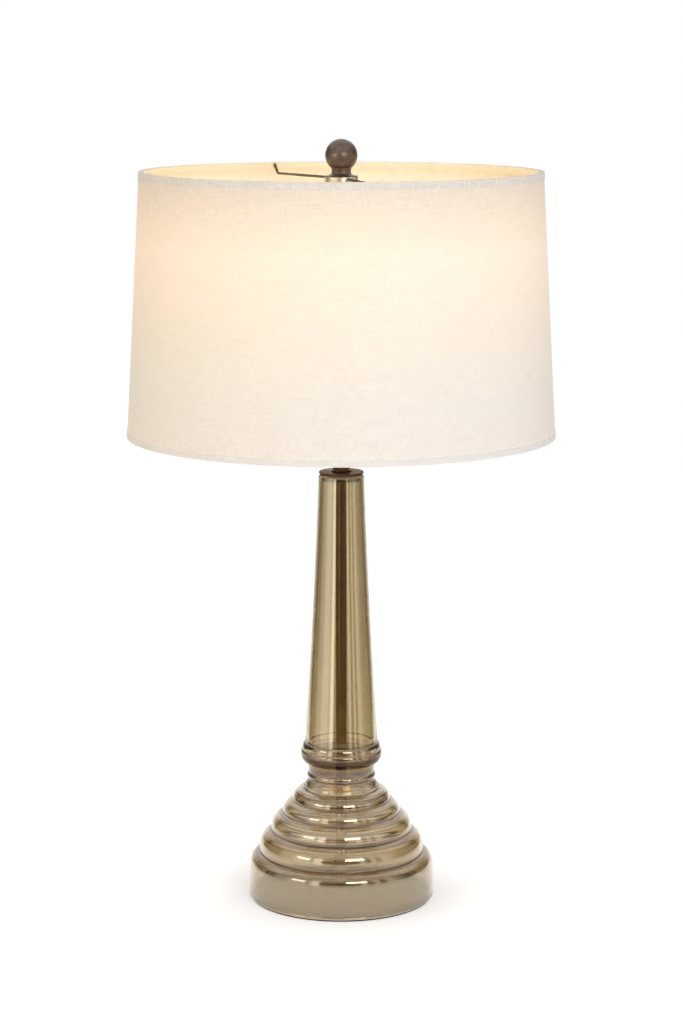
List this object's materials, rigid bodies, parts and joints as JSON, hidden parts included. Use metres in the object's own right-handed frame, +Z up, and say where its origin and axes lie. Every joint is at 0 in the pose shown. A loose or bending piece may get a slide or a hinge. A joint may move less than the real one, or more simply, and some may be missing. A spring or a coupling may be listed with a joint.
{
  "type": "candlestick table lamp",
  "caption": "Table lamp with a stepped lustre-glass candlestick body on a threaded pipe, a harp, a socket with a bulb and a tapered linen drum shade under a ball finial.",
  "frame": {"origin": "middle of the felt pad's underside, on the table", "axes": "+Z up the lamp's axis, -Y to the front, +Y to the cord inlet at the back"},
  "size_m": [0.4075, 0.4076, 0.7343],
  "materials": {
    "felt": "pressed wool felt, dark grey",
    "steel_plate": "pressed steel disc, pale satin brassed finish",
    "zinc_steel": "zinc-plated steel",
    "gasket_rubber": "soft moulded rubber, clear silicone at the foot and dark under the cap",
    "lustre_glass": "smoky champagne lustre glass, mirrored towards the foot",
    "grommet_plastic": "moulded nylon bushing",
    "pipe_brass": "lacquered threaded lamp pipe, dull brown brass, pale bright plating inside the foot",
    "dark_bronze": "oil-rubbed bronze",
    "antique_brass": "antique brass plating",
    "sleeve_card": "vulcanised fibre card",
    "phenolic": "black phenolic moulding",
    "contact_brass": "bright brass",
    "bulb_aluminium": "thin rolled aluminium",
    "bulb_black_glass": "black vitrified insulator",
    "frosted_glass": "inside-frosted bulb glass",
    "clear_glass": "clear lead glass",
    "filament_tungsten": "tungsten wire",
    "polished_nickel": "polished nickel plate",
    "bronze_wire": "bronze-painted steel wire",
    "ring_steel": "white-coated steel wire",
    "linen": "off-white slubbed linen",
    "liner_styrene": "white styrene backing film"
  },
  "bodies": {
    "lamp": {"felt_pad": "felt", "base_plate": "steel_plate", "bottom_washer": "zinc_steel", "lock_washer": "zinc_steel", "hex_nut": "zinc_steel", "foot_gasket": "gasket_rubber", "glass_body": "lustre_glass", "cord_grommet": "grommet_plastic", "lamp_pipe": "pipe_brass", "cap_gasket": "gasket_rubber", "top_cap": "dark_bronze", "neck": "antique_brass", "harp_saddle": "antique_brass", "socket_cap": "antique_brass", "socket_shell": "antique_brass", "insulating_sleeve": "sleeve_card", "socket_core": "phenolic", "terminal_screws": "contact_brass", "screw_shell": "bulb_aluminium", "centre_contact": "contact_brass"},
    "switch": {"switch_rotor": "phenolic", "switch_shaft": "zinc_steel", "switch_knob": "phenolic"},
    "bulb": {"bulb_contact": "contact_brass", "bulb_insulator": "bulb_black_glass", "bulb_base": "bulb_aluminium", "bulb_glass": "frosted_glass", "bulb_stem": "clear_glass", "bulb_filament": "filament_tungsten"},
    "harp_bow": {"harp": "antique_brass"},
    "ferrule_left": {"harp_ferrule_left": "antique_brass"},
    "ferrule_right": {"harp_ferrule_right": "antique_brass"},
    "stud": {"harp_stud": "antique_brass"},
    "shade": {"spider_hub": "polished_nickel", "spider_arms": "bronze_wire", "shade_top_ring": "ring_steel", "shade_bottom_ring": "ring_steel", "shade_linen": "linen", "shade_liner": "liner_styrene", "top_hem_tape": "linen", "bottom_hem_tape": "linen"},
    "finial_ball": {"finial": "dark_bronze"}
  },
  "joints": [
    {"name": "switch_turn", "type": "hinge", "parent": "lamp", "child": "switch", "pos_m": [0, -0.0105, 0.50159], "axis": [0, -1, 0], "continuous": true},
    {"name": "bulb_unscrew", "type": "slide", "parent": "lamp", "child": "bulb", "axis": [0, 0, 1], "range_m": [0, 0.026]},
    {"name": "harp_lift", "type": "slide", "parent": "lamp", "child": "harp_bow", "axis": [0, 0, 1], "range_m": [0, 0.03]},
    {"name": "ferrule_left_lift", "type": "slide", "parent": "harp_bow", "child": "ferrule_left", "axis": [0, 0, 1], "range_m": [0, 0.018]},
    {"name": "ferrule_right_lift", "type": "slide", "parent": "harp_bow", "child": "ferrule_right", "axis": [0, 0, 1], "range_m": [0, 0.018]},
    {"name": "stud_turn", "type": "hinge", "parent": "harp_bow", "child": "stud", "pos_m": [0, 0, 0.68779], "axis": [0, 0, 1], "continuous": true},
    {"name": "shade_lift", "type": "slide", "parent": "stud", "child": "shade", "axis": [0, 0, 1], "range_m": [0, 0.014]},
    {"name": "finial_unscrew", "type": "slide", "parent": "shade", "child": "finial_ball", "axis": [0, 0, 1], "range_m": [0, 0.013]}
  ]
}
